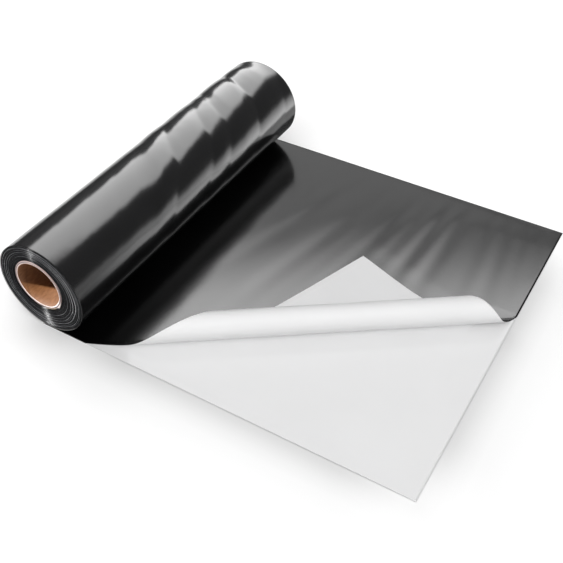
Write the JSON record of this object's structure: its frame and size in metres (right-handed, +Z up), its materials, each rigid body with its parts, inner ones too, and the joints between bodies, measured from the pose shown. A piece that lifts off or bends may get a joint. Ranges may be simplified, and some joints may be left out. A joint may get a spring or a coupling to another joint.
{
  "type": "roll of sign vinyl",
  "caption": "Roll of black self-adhesive sign film on a paper core, its free end laid flat with one corner of the film peeled over its white release liner.",
  "frame": {"origin": "on the surface that the flat web rests on, directly under the roll's axis, at the middle of the web's width", "axes": "+X the way the web is unrolled, Y along the roll's axis with the peeled corner at -Y, +Z up"},
  "size_m": [0.6762, 0.61, 0.153],
  "materials": {
    "film": "gloss black calendered film",
    "adhesive": "white opaque pressure-sensitive adhesive, soft gloss",
    "liner": "white silicone-coated release paper",
    "core_lining": "brown kraft paper",
    "core_board": "cut edge of wound kraft board",
    "core_face": "pale paper ply",
    "tape": "tan paper tape"
  },
  "bodies": {
    "web": {"web_liner": "liner", "web_adhesive": "adhesive", "web_film": "film", "curl_adhesive": "adhesive", "curl_film": "film"},
    "roll": {"core_inner_ply": "core_lining", "core_body_plies": "core_board", "core_outer_ply": "core_face", "start_tape": "tape", "wound_liner": "liner", "wound_adhesive": "adhesive", "wound_film": "film"},
    "flap": {"flap_adhesive": "adhesive", "flap_film": "film"}
  },
  "joints": [
    {"name": "roll_turn", "type": "hinge", "parent": "web", "child": "roll", "pos_m": [0, 0, 0.0777], "axis": [0, 1, 0], "continuous": true},
    {"name": "flap_peel", "type": "hinge", "parent": "web", "child": "flap", "pos_m": [0.16642, -0.23505, 0.02185], "axis": [0.8161, 0.5779, 0], "range_deg": [0, 60]}
  ]
}
